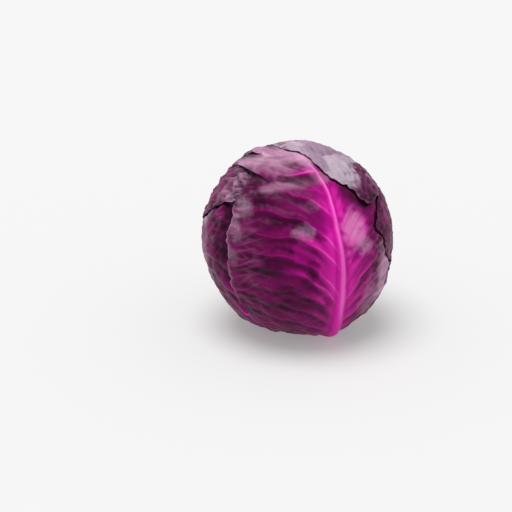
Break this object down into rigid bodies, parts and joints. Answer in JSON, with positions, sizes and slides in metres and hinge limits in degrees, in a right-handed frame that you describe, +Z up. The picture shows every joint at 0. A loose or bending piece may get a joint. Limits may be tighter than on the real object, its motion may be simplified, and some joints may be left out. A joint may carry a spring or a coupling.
{
  "type": "red cabbage head",
  "caption": "Whole red cabbage head: overlapping outer leaves wrapped round inner leaves and a tight heart, on a cut stem that runs up inside as the core.",
  "frame": {"origin": "middle of the cut stem face that the head stands on", "axes": "+Z up along the stem and core; -Y is the front, the side that the front leaf covers"},
  "size_m": [0.1543, 0.1571, 0.1599],
  "materials": {
    "outer_leaf": "satin, with a waxy bloom",
    "inner_leaf": "satin",
    "heart_leaf": "satin",
    "cut_stem": "matte"
  },
  "bodies": {
    "root": {"crown_leaf": "outer_leaf", "front_leaf": "outer_leaf", "left_shoulder_leaf": "outer_leaf", "right_leaf": "outer_leaf", "left_leaf": "outer_leaf", "inner_leaf_1": "inner_leaf", "inner_leaf_2": "inner_leaf", "inner_leaf_3": "inner_leaf", "inner_leaf_4": "inner_leaf", "inner_leaf_5": "inner_leaf", "inner_leaf_6": "inner_leaf", "inner_leaf_7": "inner_leaf", "inner_leaf_8": "inner_leaf", "inner_leaf_9": "inner_leaf", "heart": "heart_leaf", "stem_core": "cut_stem"}
  },
  "joints": []
}
